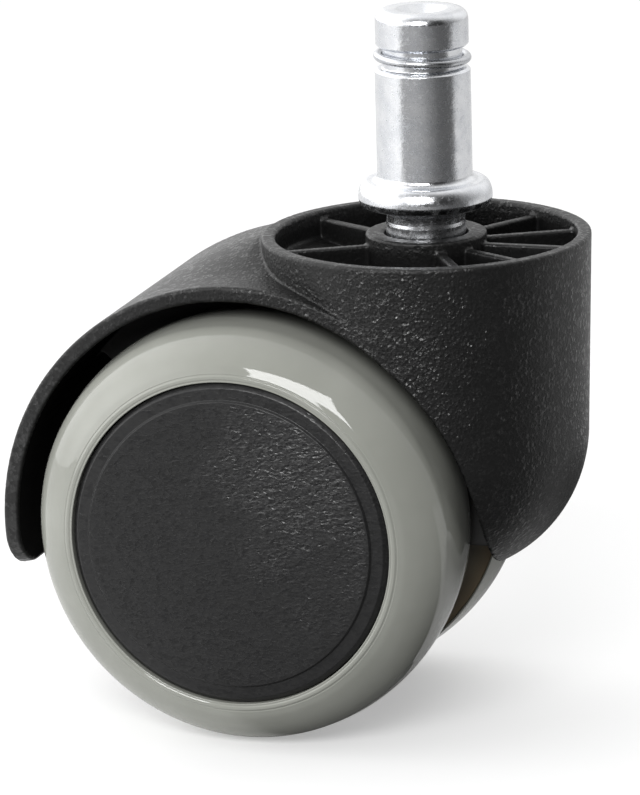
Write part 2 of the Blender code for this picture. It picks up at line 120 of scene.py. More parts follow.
DISC_ROOM_WIDTH = 0.15 * MM
HOOD_STEP = 0.36 * MM
HOOD_MARGIN = 0.8 * MM
HOOD_TRIANGLES = 190000
NORMAL_REACH = 0.05 * MM
# The share of the hollows' plain mould and painted shade that the drum's pockets get
POCKET_PLAIN_AND_SHADE = 0.55
HOLLOW_BLEND = 0.3 * MM

# Stem
STEM_LENGTH = STEM_HIGH.z
STEM_RADIUS = 5.5 * MM
STEM_TIP_RADIUS = 5.35 * MM
RING_GROOVE_RADIUS = 4.6 * MM
RING_GROOVE_BOTTOM = 15.2 * MM
RING_GROOVE_TOP = 17.7 * MM
COLLAR_RADIUS = STEM_HIGH.x
SHOULDER_Z = 2.1 * MM
SHOULDER_OUTER_RADIUS = 6.65 * MM
FLARE_RADIUS = 0.75 * MM
TIP_ROUND = 1.9 * MM
NECK_RADIUS = 4.6 * MM
NECK_BOTTOM = -9.8 * MM
PIN_RADIUS = 4.0 * MM
PIN_BOTTOM = STEM_LOW.z
SNAP_GROOVE_TOP = -23.6 * MM
SNAP_GROOVE_BOTTOM = -24.8 * MM
SNAP_GROOVE_DEPTH = 0.6 * MM
DOME_BOTTOM = 0.2 * MM
DOME_STEPS = 24
FLARE_STEPS = 12
DIMPLE_DEPTH = 1.0 * MM
RING_WIRE_RADIUS = 0.48 * MM
RING_OUTER_RADIUS = 5.62 * MM
RING_TILT = math.radians(2.5)
RING_START_DEG = 98
RING_SWEEP_DEG = 344
RING_STEPS = 160
RING_SIDES = 20
RING_END_STEPS = 2
RING_END_ROUNDING = 0.7

# Wheel: distances from the hood's middle plane, outwards
TREAD_INNER = 7.0 * MM
TREAD_MIDDLE = 12.75 * MM
HUB_INNER = 6.5 * MM
CAP_FACE = 22.2 * MM
CAP_RADIUS = 18.9 * MM
CAP_DISC_RADIUS = 16.8 * MM
CORE_RIM_RADIUS = 20.2 * MM
CORE_FLANGE_RADIUS = 24.2 * MM
CORE_FLANGE_OUTER = 8.1 * MM
CORE_HUB_RADIUS = 7.6 * MM
CORE_FACE = 12.6 * MM
CORE_BACK = 14.4 * MM
SPOKES = 12
SPOKE_INNER = 6.6 * MM
SPOKE_OUTER = 18.9 * MM
SPOKE_WIDTH = 1.3 * MM
SPOKE_HEIGHT = 5.0 * MM
SPOKE_MIDDLE = 10.6 * MM
SPOKE_BEVEL = 0.25 * MM
WASHER_RADIUS = 7.2 * MM
WASHER_INNER = 5.75 * MM
WASHER_OUTER = 6.3 * MM

# Grains: the places where they are deepest, and over what distance from there they fade, in millimetres
GRAIN_SCALE = 2.3
CAP_GRAIN = AXLE + Vector((13.0 * MM, 0.0, 10.0 * MM))
CAP_GRAIN_FADE = (3.0, 19.0)
CAP_GRAIN_DEPTH = 0.17 * MM
DRUM_GRAIN = Vector((-1.0 * MM, 18.0 * MM, -17.0 * MM))
DRUM_GRAIN_SQUASH = 0.75
DRUM_GRAIN_FADE = (5.0, 17.0)
HOOD_GRAIN_DEPTH = 0.18 * MM
RAGGED_SCALE = 0.2
RAGGEDNESS = 5.0

# Millimetres from and to which a look changes: along X or Y on the hood, and out from the axle on a wheel
TAIL_SPECKS_X = (-26.0, -44.0)
HOLLOW_FADE_X = (-45.0, -40.5)
WEB_FADE_X = (-39.8, -38.6)
WEB_FADE_Y = (3.4, 4.4)
CAP_STEP_FADE = (16.3, 16.8)
CORE_EDGE_FADE = (22.0, 24.2)

# Brightnesses and colours
HOOD_CLOUDS = (0.0045, 0.0065)
HOOD_CREST = 0.012
TAIL_GREYS = (0.010, 0.034)
# Painted shade in the hood's hollows, lighter at the tail and darker further in
HOLLOW_SHADE_GREYS = (0.008, 0.0035)
# Painted fill light on the web's side, which lies in shade between the wheels
WEB_FILL_LIGHT_GREY = 0.075
CAP_GREYS = (0.0095, 0.0125)
CAP_TINT = (1.0, 1.0, 1.06)
CORE_COLOURS = ((0.11, 0.1, 0.078, 1.0), (0.16, 0.145, 0.11, 1.0))
# Painted light: a paler brown towards the core flange's edge
CORE_EDGE_LIGHT_COLOUR = (0.25, 0.19, 0.115, 1.0)
TYRE_COLOURS = ((0.272, 0.278, 0.250, 1.0), (0.310, 0.316, 0.286, 1.0))
TYRE_IOR = 1.5
BLOTCH_TINT = (0.8, 0.81, 0.83)

SIDES = ("right", "left")

# Meshes
SEGMENTS = 192
TREAD_SEGMENTS = 256
CORE_SEGMENTS = 128
WASHER_SEGMENTS = 96
SHOULDER_STEPS = 5
ARC_STEP_DEG = 12
TINY = 1e-9
ON_AXIS = 1e-7
FILLET_SHARE = 0.49
SMOOTH_DEG = 35


# ---------------------------------------------------------------- distance fields

def meet(first, second, radius=0.0):
    """The space inside both fields, with a rounded edge where they meet."""
    if radius == 0.0:
        return np.maximum(first, second)
    corner = np.hypot(np.maximum(first + radius, 0.0), np.maximum(second + radius, 0.0))
    return np.minimum(np.maximum(first, second), -radius) + corner


def join(first, second, radius=0.0):
    """The space inside either field, with a rounded corner where they join."""
    return -meet(-first, -second, radius)


def cut(body, tool, radius=0.0):
    """The body without the tool's space, with rounded edges."""
    return meet(body, -tool, radius)


def drum_field(radius, up, inset):
    """The drum's outer shape, moved inwards by the inset: a bowl below, a nearly straight wall above."""
    half_width = CHIN_HALF_WIDTH - inset
    depth = CHIN_DEPTH - inset
    across = np.maximum(radius - CHIN_CENTRE_RADIUS, 0.0)
    below = up - CHIN_CENTRE_HEIGHT
    ratio = np.hypot(across / half_width, below / depth) + TINY
    slope = np.hypot(across / half_width ** 2, below / depth ** 2) + TINY
    bowl = ratio * (ratio - 1.0) / slope
    share = np.clip(below / (RIM_TOP - CHIN_CENTRE_HEIGHT), 0.0, DRUM_WALL_OVERRUN)
    foot_radius = CHIN_CENTRE_RADIUS + CHIN_HALF_WIDTH
    wall = radius - (foot_radius + (DRUM_RADIUS - foot_radius) * share - inset)
    return np.where(below < 0.0, bowl, wall)


def fender_field(reach, angle, across):
    """The fender as a thick plate round the axle; the wheel space trims its underside."""
    near_tail = np.clip((np.degrees(angle) - FENDER_NARROWS_FROM_DEG) / FENDER_NARROWS_OVER_DEG, 0.0, 1.0)
    half_width = FENDER_HALF_WIDTH_FRONT + (FENDER_HALF_WIDTH_BACK - FENDER_HALF_WIDTH_FRONT) * near_tail
    rise = SADDLE_RISE * np.clip((SADDLE_END - angle) / SADDLE_LENGTH, 0.0, 1.0) ** SADDLE_POWER
    fade = np.clip((across - SADDLE_FLAT) / (SADDLE_HALF_WIDTH - SADDLE_FLAT), 0.0, 1.0)
    top = FENDER_RADIUS + rise * np.cos(fade * math.pi / 2) ** 2
    steep = np.clip(np.sin(angle), FENDER_LEAST_STEEPNESS, 1.0)
    top = np.minimum(top, FENDER_TOP / steep)
    sides = meet(across - half_width, (angle - FENDER_END) * FENDER_RADIUS, FENDER_CORNER_RADIUS)
    sides = np.maximum(sides, (FENDER_START - angle) * FENDER_RADIUS)
    return meet(reach - top, sides, EDGE)


def rib_field(x, y, radius, up):
    """The upright plates from the boss to the drum's wall."""
    ribs = None
    for angle_deg in RIB_ANGLES_DEG:
        turn = math.radians(angle_deg)
        along = x * math.cos(turn) + y * math.sin(turn)
        aside = np.abs(y * math.cos(turn) - x * math.sin(turn))
        plate = np.maximum(aside - RIB_HALF_THICKNESS, RIB_START - along)
        ribs = plate if ribs is None else np.minimum(ribs, plate)
    return meet(ribs, up - RIB_TOP, FINE_EDGE)


def web_field(along, up, reach, across, middle):
    """The upright plate between the wheels, from the fender down to the axle."""
    back_end = Vector((math.cos(WEB_BACK), math.sin(WEB_BACK))) * middle
    run = (back_end - WEB_BACK_FOOT).normalized()
    behind = (along - WEB_BACK_FOOT.x) * -run.y + (up - WEB_BACK_FOOT.y) * run.x
    outline = meet(meet(WEB_BOTTOM - up, behind, FILLET), reach - middle)
    return meet(across - WEB_HALF_THICKNESS, outline, EDGE)


def bore_field(radius, up):
    """The blind hole for the pin, with a recess for the snap ring and room for the disc below the pin."""
    height = up + AXLE.z
    bore = PIN_RADIUS + RUNNING_FIT
    recess = PIN_RADIUS + SNAP_RECESS_DEPTH
    snap_room = 0.3 * MM
    ease = 0.1 * MM
    profile = (
        (PIN_BOTTOM - ease, bore + DISC_ROOM_WIDTH),
        (PIN_BOTTOM + ease, bore),
        (SNAP_GROOVE_BOTTOM - 0.55 * MM, bore),
        (SNAP_GROOVE_BOTTOM - snap_room, recess),
        (SNAP_GROOVE_TOP + snap_room, recess),
        (SNAP_GROOVE_TOP + 0.6 * MM, bore),
        (NECK_BOTTOM - 0.6 * MM, bore),
        (NECK_BOTTOM - ease, NECK_RADIUS + NECK_ROOM),
    )
    heights, radii = zip(*profile)
    wall = np.interp(height, heights, radii)
    return np.maximum(radius - wall, PIN_BOTTOM - DISC_ROOM_DEPTH - height)


def hood_field(x, y, z):
    """The whole hood: drum, pockets, ribs, boss, fender, web and axle boss."""
    along = x - AXLE.x
    up = z - AXLE.z
    across = np.abs(y)
    reach = np.hypot(along, up)
    radius = np.hypot(x, y)
    angle = np.arctan2(up, along)
    angle = np.where(angle < -math.pi / 2, angle + math.tau, angle)
    middle = (WHEEL_SPACE_RADIUS + FENDER_RADIUS) / 2
    roof = middle - reach

    pocket = meet(drum_field(radius, up, DRUM_WALL), FENDER_RADIUS - reach, FILLET)
    hood = meet(drum_field(radius, up, 0.0), up - RIM_TOP, EDGE)
    hood = cut(hood, pocket, EDGE)
    fender = np.maximum(fender_field(reach, angle, across), DRUM_RADIUS - DRUM_WALL / 2 - radius)
    hood = join(hood, fender, CREASE)
    hood = cut(hood, reach - WHEEL_SPACE_RADIUS, EDGE)
    boss = meet(radius - BOSS_RADIUS, up - BOSS_TOP, EDGE)
    ribs = np.maximum(rib_field(x, y, radius, up), drum_field(radius, up, DRUM_WALL / 2))
    hood = join(hood, np.maximum(join(boss, ribs, FILLET / 2), roof), FILLET / 2)
    hood = join(hood, web_field(along, up, reach, across, middle), FILLET)
    tube = meet(radius - PIN_TUBE_RADIUS, np.maximum(PIN_TUBE_BOTTOM - up, up - RIB_TOP), FILLET)
    hood = join(hood, tube, FILLET)
    axle_boss = meet(reach - AXLE_BOSS_RADIUS, across - AXLE_BOSS_HALF_LENGTH, EDGE)
    hood = join(hood, axle_boss, FILLET)
    hood = cut(hood, bore_field(radius, up), EDGE)
    return cut(hood, reach - AXLE_RADIUS - PRESS_FIT, EDGE)


def surface_of(field, low, high, step):
    """Points and quads of the surface where a field is zero, one point in each grid cell that it crosses."""
    counts = [int(math.ceil((high[i] - low[i]) / step)) + 1 for i in range(3)]
    axes = [low[i] + step * np.arange(counts[i]) for i in range(3)]
    x, y, z = np.meshgrid(*axes, indexing="ij", sparse=True)
    value = np.ascontiguousarray(np.broadcast_to(field(x, y, z), counts), dtype=np.float32)
    inside = value < 0.0
    strides = np.array([counts[1] * counts[2], counts[2], 1])
    owners, places, quads, flips = [], [], [], []
    for axis in range(3):
        first = [slice(None)] * 3
        second = [slice(None)] * 3
        first[axis] = slice(0, -1)
        second[axis] = slice(1, None)
        corner = np.argwhere(inside[tuple(first)] != inside[tuple(second)])
        other = corner.copy()
        other[:, axis] += 1
        low_value = value[tuple(corner.T)]
        high_value = value[tuple(other.T)]
        place = corner.astype(float)
        place[:, axis] += low_value / (low_value - high_value)
        side_a, side_b = [a for a in range(3) if a != axis]
        around = []
        for back_a, back_b in ((0, 0), (1, 0), (1, 1), (0, 1)):
            cell = corner.copy()
            cell[:, side_a] -= back_a
            cell[:, side_b] -= back_b
            around.append(cell @ strides)
            owners.append(around[-1])
            places.append(place)
        quads.append(np.stack(around, axis=1))
        flips.append((low_value < 0.0) == (axis == 1))
    owners = np.concatenate(owners)
    places = np.concatenate(places)
    quads = np.concatenate(quads)
    flips = np.concatenate(flips)
    used, which = np.unique(owners, return_inverse=True)
    share = np.bincount(which)
    points = np.stack([np.bincount(which, weights=places[:, i]) / share for i in range(3)], axis=1)
    points = np.array(low) + points * step
    quads = np.searchsorted(used, quads)
    quads[flips] = quads[flips][:, ::-1]
    return settle(field, points, step), quads


def gradient(field, points, reach):
    """The field's slope at each point."""
    slope = np.zeros_like(points)
    for axis in range(3):
        ahead = points.copy()
        behind = points.copy()
        ahead[:, axis] += reach
        behind[:, axis] -= reach
        slope[:, axis] = (field(*ahead.T) - field(*behind.T)) / (2 * reach)
    return slope


def settle(field, points, step):
    """Move the points onto the surface."""
    rounds = 2
    least_slope = 0.2
    probe = step * 0.2
    most_shift = step / 2
    for _ in range(rounds):
        slope = gradient(field, points, probe)
        size = np.maximum((slope ** 2).sum(axis=1), least_slope)
        shift = np.clip(field(*points.T) / size, -most_shift, most_shift)
        points = points - slope * shift[:, None]
    return points


# ---------------------------------------------------------------- meshes

def object_of(name, mesh, slot, body, *replaced):
    """Put a mesh in the scene as a piece that rides on a CAD body and replaces some of its nodes."""
    made = bpy.data.objects.new(name, mesh)
    bpy.context.scene.collection.objects.link(made)
    mesh.materials.append(MATERIALS[slot]())
    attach(made, body)
    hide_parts(*replaced)
    return made


def apply_modifiers(piece):
    """Turn a piece's modifiers into mesh."""
    graph = bpy.context.evaluated_depsgraph_get()
    mesh = bpy.data.meshes.new_from_object(piece.evaluated_get(graph))
    piece.modifiers.clear()
    piece.data = mesh


def filleted(corners):
    """An outline from (radius, height, fillet) corners, each rounded by an arc."""
    points = []
    count = len(corners)
    for index, (radius, height, fillet) in enumerate(corners):
        here = Vector((radius, height))
        if fillet == 0.0 or index in (0, count - 1):
            points.append(tuple(here))
            continue
        before = Vector(corners[index - 1][:2]) - here
        after = Vector(corners[index + 1][:2]) - here
        turn = before.angle(after)
        room = FILLET_SHARE * min(before.length, after.length)
        run = min(fillet / math.tan(turn / 2), room)
        start = here + before.normalized() * run
        end = here + after.normalized() * run
        inward = (before.normalized() + after.normalized()).normalized()
        middle = here + inward * (run / math.cos(turn / 2))
        swing = math.pi - turn
        steps = max(2, int(math.degrees(swing) / ARC_STEP_DEG))
        for step in range(steps + 1):
            share = step / steps
            weight_start = math.sin((1 - share) * swing) / math.sin(swing)
            weight_end = math.sin(share * swing) / math.sin(swing)
            points.append(tuple(middle + (start - middle) * weight_start + (end - middle) * weight_end))
    return points


def smooth_through(points, steps):
    """A smooth curve through the given points."""
    ends = [2 * Vector(points[0]) - Vector(points[1])]
    ends += [Vector(point) for point in points]
    ends.append(2 * Vector(points[-1]) - Vector(points[-2]))
    curve = []
    for index in range(1, len(ends) - 2):
        a, b, c, d = ends[index - 1:index + 3]
        for step in range(steps):
            t = step / steps
            curve.append(tuple(0.5 * (2 * b + (c - a) * t + (2 * a - 5 * b + 4 * c - d) * t ** 2
                                      + (3 * b - a - 3 * c + d) * t ** 3)))
    curve.append(tuple(points[-1]))
    return curve


def turned(outline, segments=SEGMENTS):
    """Turn an outline of (radius, height) points about Z into a closed bmesh."""
    body = bmesh.new()
    rings = []
    for radius, height in outline:
        if radius < ON_AXIS:
            rings.append([body.verts.new((0.0, 0.0, height))])
            continue
        ring = []
        for step in range(segments):
            angle = math.tau * step / segments
            ring.append(body.verts.new((radius * math.cos(angle), radius * math.sin(angle), height)))
        rings.append(ring)
    if outline[0][0] > ON_AXIS:
        rings.append(rings[0])
    for first, second in zip(rings, rings[1:]):
        for step in range(segments):
            after = (step + 1) % segments
            if len(first) == 1:
                body.faces.new((first[0], second[after], second[step]))
            elif len(second) == 1:
                body.faces.new((first[step], first[after], second[0]))
            else:
                body.faces.new((first[step], first[after], second[after], second[step]))
    return body


def shade(mesh):
    """Shade a mesh smooth, apart from its sharp edges."""
    mesh.shade_smooth()
    mesh.set_sharp_from_angle(angle=math.radians(SMOOTH_DEG))


def finished_mesh(name, body, place=None):
    """Close a bmesh into a smooth-shaded mesh, with its faces out."""
    if place is not None:
        body.transform(place)
    bmesh.ops.recalc_face_normals(body, faces=body.faces)
    mesh = bpy.data.meshes.new(name)
    body.to_mesh(mesh)
    body.free()
    shade(mesh)
    return mesh


def add_weighted_normals(piece):
    """Keep the flat faces flat where they run into small fillets."""
    step = piece.modifiers.new("weighted_normals", "WEIGHTED_NORMAL")
    step.keep_sharp = True


def facing(side):
    """From a turned piece's Z axis to the axle, facing out on that side."""
    angle = math.radians(90 if side == "right" else -90)
    return Matrix.Translation((AXLE.x, 0.0, AXLE.z)) @ Matrix.Rotation(angle, 4, "X")


# ---------------------------------------------------------------- materials

def node(tree, kind, settings=None, **inputs):
    """Add a shader node; an input is a value or another node's output."""
    made = tree.nodes.new(kind)
    for key, value in (settings or {}).items():
        setattr(made, key, value)
    for key, value in inputs.items():
        socket = made.inputs[int(key[1:])] if key[0] == "_" else made.inputs[key.replace("_", " ")]
        if isinstance(value, bpy.types.NodeSocket):
            tree.links.new(value, socket)
        else:
            socket.default_value = value
    return made


def start_material(name):
    """A new material with its Principled node, and the piece's own coordinates in millimetres."""
    made = bpy.data.materials.new(name)
    made.use_nodes = True
    tree = made.node_tree
    shader = tree.nodes["Principled BSDF"]
    where = node(tree, "ShaderNodeTexCoord").outputs["Object"]
    return made, tree, shader, scaled(tree, where, 1.0 / MM)


def noise(tree, place, scale, detail, rough):
    """Noise whose features are about 1/scale millimetres wide, from 0 to 1."""
    made = node(tree, "ShaderNodeTexNoise", None, Vector=place, Scale=scale, Detail=detail, Roughness=rough)
    return made.outputs["Fac"]


def spread(tree, value, low_in, high_in, low_out=0.0, high_out=1.0):
    """Map a value from one range to another, clamped."""
    made = node(tree, "ShaderNodeMapRange", None, Value=value, From_Min=low_in, From_Max=high_in,
                To_Min=low_out, To_Max=high_out)
    return made.outputs["Result"]


def mixed(tree, share, first, second):
    """Blend two colours."""
    made = node(tree, "ShaderNodeMix", {"data_type": "RGBA"}, _0=share, _6=first, _7=second)
    return made.outputs[2]


def blended(tree, share, first, second):
    """Blend two values."""
    made = node(tree, "ShaderNodeMix", {"data_type": "FLOAT"}, _0=share, _2=first, _3=second)
    return made.outputs[0]


def maths(tree, operation, first, second=0.0):
    """One sum."""
    made = node(tree, "ShaderNodeMath", {"operation": operation}, _0=first, _1=second)
    return made.outputs["Value"]


def times(tree, first, second):
    """The product of two values."""
    return maths(tree, "MULTIPLY", first, second)


def vector_sum(tree, operation, first, second=(0.0, 0.0, 0.0)):
    """One sum of vectors."""
    made = node(tree, "ShaderNodeVectorMath", {"operation": operation}, _0=first, _1=second)
    return made.outputs["Vector"]


def scaled(tree, place, scale):
    """A vector times a number."""
    made = node(tree, "ShaderNodeVectorMath", {"operation": "SCALE"}, _0=place, Scale=scale)
    return made.outputs["Vector"]


def distance(tree, place, point):
    """The distance between two places."""
    made = node(tree, "ShaderNodeVectorMath", {"operation": "DISTANCE"}, _0=place, _1=point)
    return made.outputs["Value"]


def distance_side_on(tree, place, point):
    """The distance in millimetres to a point of the scene, as seen along the axle."""
    flat = vector_sum(tree, "MULTIPLY", place, (1.0, 0.0, 1.0))
    return distance(tree, flat, (point.x / MM, 0.0, point.z / MM))


def ragged(tree, place, away):
    """A distance made uneven by up to RAGGEDNESS millimetres."""
    uneven = noise(tree, place, RAGGED_SCALE, 3.0, 0.6)
    return maths(tree, "ADD", away, spread(tree, uneven, 0.3, 0.7, -RAGGEDNESS, RAGGEDNESS))


def bumped(tree, height, depth, under=None):
    """A bump of the given depth in metres."""
    made = node(tree, "ShaderNodeBump", None, Strength=1.0, Distance=depth, Height=height)
    if under is not None:
        tree.links.new(under, made.inputs["Normal"])
    return made.outputs["Normal"]


def grey(value, tint=(1.0, 1.0, 1.0)):
    """A colour from a brightness and a slight tint."""
    return (value * tint[0], value * tint[1], value * tint[2], 1.0)


def feed(tree, shader, **sockets):
    """Link outputs to the shader's sockets."""
    for name, output in sockets.items():
        tree.links.new(output, shader.inputs[name.replace("_", " ")])


def grain_cells(tree, place, stir_scale, stir_depth):
    """Cells of a moulded grain: the distance to each cell's middle, and a random value for each cell."""
    stir = node(tree, "ShaderNodeTexNoise", None, Vector=place, Scale=stir_scale, Detail=2.0).outputs["Color"]
    moved = vector_sum(tree, "ADD", place, scaled(tree, stir, stir_depth))
    cells = node(tree, "ShaderNodeTexVoronoi", {"feature": "F1"}, Vector=moved, Scale=GRAIN_SCALE)
    split = node(tree, "ShaderNodeSeparateColor", None, Color=cells.outputs["Color"])
    return cells.outputs["Distance"], split.outputs["Red"]


@functools.cache
def black_nylon():
    """Moulded nylon with a spark-eroded grain, of which some crests catch the light; plain in its hollows,
    where shade is painted as a darker colour and no shine, with a painted fill light on the web's side.
    """
    made, tree, shader, place = start_material("black_nylon_fine")
    hollow = node(tree, "ShaderNodeAttribute", {"attribute_name": "hollow"}).outputs["Fac"]
    outside = maths(tree, "SUBTRACT", 1.0, hollow)
    split = node(tree, "ShaderNodeSeparateXYZ", None, Vector=place)
    along = split.outputs["X"]
    aside = maths(tree, "ABSOLUTE", split.outputs["Y"])

    # The grain, which fades away from one spot on each side of the drum
    crest, chance = grain_cells(tree, place, 2.0, 0.45)
    fine = noise(tree, place, 4.5, 2.0, 0.6)
    steep = spread(tree, chance, 0.3, 1.0, 0.3, 1.25)
    height = maths(tree, "ADD", times(tree, crest, steep), times(tree, fine, 0.3))
    height = times(tree, height, spread(tree, outside, 0.0, 1.0, 0.2, 1.0))
    folded = vector_sum(tree, "ABSOLUTE", vector_sum(tree, "MULTIPLY", place, (0.0, 1.0, 0.0)))
    flat = vector_sum(tree, "MULTIPLY", place, (1.0, 0.0, DRUM_GRAIN_SQUASH))
    spot = (DRUM_GRAIN.x / MM, DRUM_GRAIN.y / MM, DRUM_GRAIN_SQUASH * DRUM_GRAIN.z / MM)
    away = distance(tree, vector_sum(tree, "ADD", flat, folded), spot)
    deep = spread(tree, ragged(tree, place, away), *DRUM_GRAIN_FADE, 1.0, 0.4)
    height = times(tree, height, deep)

    # The colour: clouds, light crests, paler specks towards the tail, painted shade in the hollows and a
    # painted fill light on the web's side
    cloud = noise(tree, place, 0.14, 3.0, 0.6)
    base = mixed(tree, spread(tree, cloud, 0.35, 0.65), *map(grey, HOOD_CLOUDS))
    base = mixed(tree, spread(tree, chance, 0.6, 1.0), base, grey(HOOD_CREST))
    # Paler specks towards the fender's tail
    toward_tail = times(tree, spread(tree, along, *TAIL_SPECKS_X), outside)
    specks = mixed(tree, spread(tree, chance, 0.3, 1.0), *map(grey, TAIL_GREYS))
    base = mixed(tree, toward_tail, base, specks)
    # Painted shade in the hollows, darker further in from the tail
    plain = mixed(tree, spread(tree, along, *HOLLOW_FADE_X), *map(grey, HOLLOW_SHADE_GREYS))
    base = mixed(tree, hollow, base, plain)
    # Painted fill light: a paler grey on the web's side, which lies in shade between the wheels
    web_fill_light = times(tree, spread(tree, aside, *WEB_FADE_Y, 1.0, 0.0), spread(tree, hollow, 0.6, 1.0))
    web_fill_light = times(tree, web_fill_light, spread(tree, along, *WEB_FADE_X))
    base = mixed(tree, web_fill_light, base, grey(WEB_FILL_LIGHT_GREY))

    # The shine, which is livelier where the grain is deep and taken away in the hollows as painted shade
    lively = times(tree, spread(tree, fine, 0.4, 0.62, 0.45, 0.9), spread(tree, chance, 0.35, 1.0, 0.55, 1.0))
    shine = blended(tree, spread(tree, deep, 0.4, 1.0, 0.15, 1.0), 0.42, lively)
    feed(tree, shader, Base_Color=base, Specular_IOR_Level=times(tree, shine, outside),
         Roughness=spread(tree, chance, 0.5, 0.95, 0.46, 0.28), Normal=bumped(tree, height, HOOD_GRAIN_DEPTH))
    return made


@functools.cache
def cap_nylon():
    """Moulded nylon with a leather-like grain of short wavy crests, deepest on one side of the cap."""
    made, tree, shader, place = start_material("cap_nylon_fine")
    drawn_out = vector_sum(tree, "MULTIPLY", place, (0.65, 1.0, 1.05))
    crest, chance = grain_cells(tree, drawn_out, 1.3, 0.9)
    fine = noise(tree, drawn_out, 4.0, 2.0, 0.6)
    away = ragged(tree, place, distance_side_on(tree, place, CAP_GRAIN))
    on_disc = spread(tree, distance_side_on(tree, place, AXLE), *CAP_STEP_FADE, 1.0, 0.25)
    deep = times(tree, spread(tree, away, *CAP_GRAIN_FADE, 1.0, 0.22), on_disc)
    crest = times(tree, maths(tree, "ADD", crest, times(tree, fine, 0.35)), deep)
    height = times(tree, crest, spread(tree, chance, 0.2, 1.0, 0.4, 1.2))
    base = mixed(tree, spread(tree, fine, 0.35, 0.65), grey(CAP_GREYS[0], CAP_TINT), grey(CAP_GREYS[1]))
    dull = spread(tree, deep, 0.2, 1.0, 0.46, 0.5)
    bright = spread(tree, deep, 0.2, 1.0, 0.52, 0.85)
    feed(tree, shader, Base_Color=base,
         Specular_IOR_Level=blended(tree, spread(tree, fine, 0.4, 0.62), dull, bright),
         Roughness=spread(tree, chance, 0.5, 0.95, 0.42, 0.3), Normal=bumped(tree, height, CAP_GRAIN_DEPTH))
    return made


@functools.cache
def core_nylon():
    """Plain moulded nylon, slightly dusty, with painted light: paler and browner towards the flange's edge.
    """
    made, tree, shader, place = start_material("core_nylon_fine")
    dust = noise(tree, place, 0.35, 4.0, 0.6)
    fine = noise(tree, place, 3.0, 3.0, 0.6)
    base = mixed(tree, spread(tree, dust, 0.4, 0.7), *CORE_COLOURS)
    # Painted light: paler brown towards the flange's edge
    edge_light = spread(tree, distance_side_on(tree, place, AXLE), *CORE_EDGE_FADE, 0.0, 0.8)
    feed(tree, shader, Base_Color=mixed(tree, edge_light, base, CORE_EDGE_LIGHT_COLOUR),
         Roughness=spread(tree, dust, 0.3, 0.7, 0.42, 0.62), Normal=bumped(tree, fine, 0.02 * MM))
    return made


@functools.cache
def grey_polyurethane():
    """Cast polyurethane: grey, glossy, a little cloudy, with a faint waviness."""
    made, tree, shader, place = start_material("grey_polyurethane_fine")
    cloud = noise(tree, place, 0.08, 3.0, 0.55)
    haze = noise(tree, place, 0.6, 4.0, 0.6)
    wave = noise(tree, place, 0.22, 2.0, 0.5)
    base = mixed(tree, spread(tree, cloud, 0.35, 0.65), *TYRE_COLOURS)
    fine = bumped(tree, haze, 0.005 * MM)
    feed(tree, shader, Base_Color=base, Roughness=spread(tree, haze, 0.3, 0.75, 0.03, 0.07),
         Normal=bumped(tree, wave, 0.05 * MM, fine))
    shader.inputs["IOR"].default_value = TYRE_IOR
    return made


def plated(name, colour, rough_low, rough_high, line_depth):
    """Turned and plated steel: fine lines round the axis, blotchy plating, small scuffs."""
    made, tree, shader, place = start_material(name)
    blotch = noise(tree, place, 0.45, 5.0, 0.65)
    scuff = noise(tree, place, 2.2, 4.0, 0.7)
    lines = noise(tree, vector_sum(tree, "MULTIPLY", place, (0.15, 0.15, 7.0)), 1.0, 3.0, 0.6)
    darker = tuple(channel * part for channel, part in zip(colour, BLOTCH_TINT))
    base = mixed(tree, spread(tree, blotch, 0.35, 0.7), (*colour, 1.0), (*darker, 1.0))
    rough = maths(tree, "ADD", spread(tree, blotch, 0.3, 0.7, rough_low, rough_high),
                  spread(tree, scuff, 0.5, 0.7, 0.0, 0.16))
    fine = bumped(tree, scuff, 0.02 * MM)
    feed(tree, shader, Base_Color=base, Roughness=rough, Normal=bumped(tree, lines, line_depth, fine))
    shader.inputs["Metallic"].default_value = 1.0
    return made


@functools.cache
def zinc_steel():
    """Bright zinc plating."""
    return plated("zinc_steel_fine", (0.88, 0.89, 0.91), 0.14, 0.26, 0.008 * MM)


@functools.cache
def spring_steel():
    """Bright spring steel."""
    return plated("spring_steel_fine", (0.62, 0.63, 0.65), 0.18, 0.32, 0.003 * MM)


@functools.cache
def axle_steel():
    """Drawn bar."""
    return plated("axle_steel_fine", (0.56, 0.56, 0.57), 0.25, 0.4, 0.004 * MM)


MATERIALS = {
    "black_nylon": black_nylon,
    "cap_nylon": cap_nylon,
    "core_nylon": core_nylon,
    "grey_polyurethane": grey_polyurethane,
    "zinc_steel": zinc_steel,
    "spring_steel": spring_steel,
    "axle_steel": axle_steel,
}


# ---------------------------------------------------------------- pieces

def hollow_share(points):
    """One in the wheel space and in the drum's pockets, where the mould is plain and shade is painted, and
    nought outside.
    """
    x, y, z = points.T
    up = z - AXLE.z
    soft = HOLLOW_BLEND
    wheel_space = np.clip((WHEEL_SPACE_RADIUS + soft - np.hypot(x - AXLE.x, up)) / soft, 0.0, 1.0)
    in_drum = np.clip(-drum_field(np.hypot(x, y), up, DRUM_WALL - soft) / soft, 0.0, 1.0)
    below_ribs = np.clip((RIB_TOP - soft / 2 - up) / soft, 0.0, 1.0)
    return np.maximum(wheel_space, POCKET_PLAIN_AND_SHADE * in_drum * below_ribs)


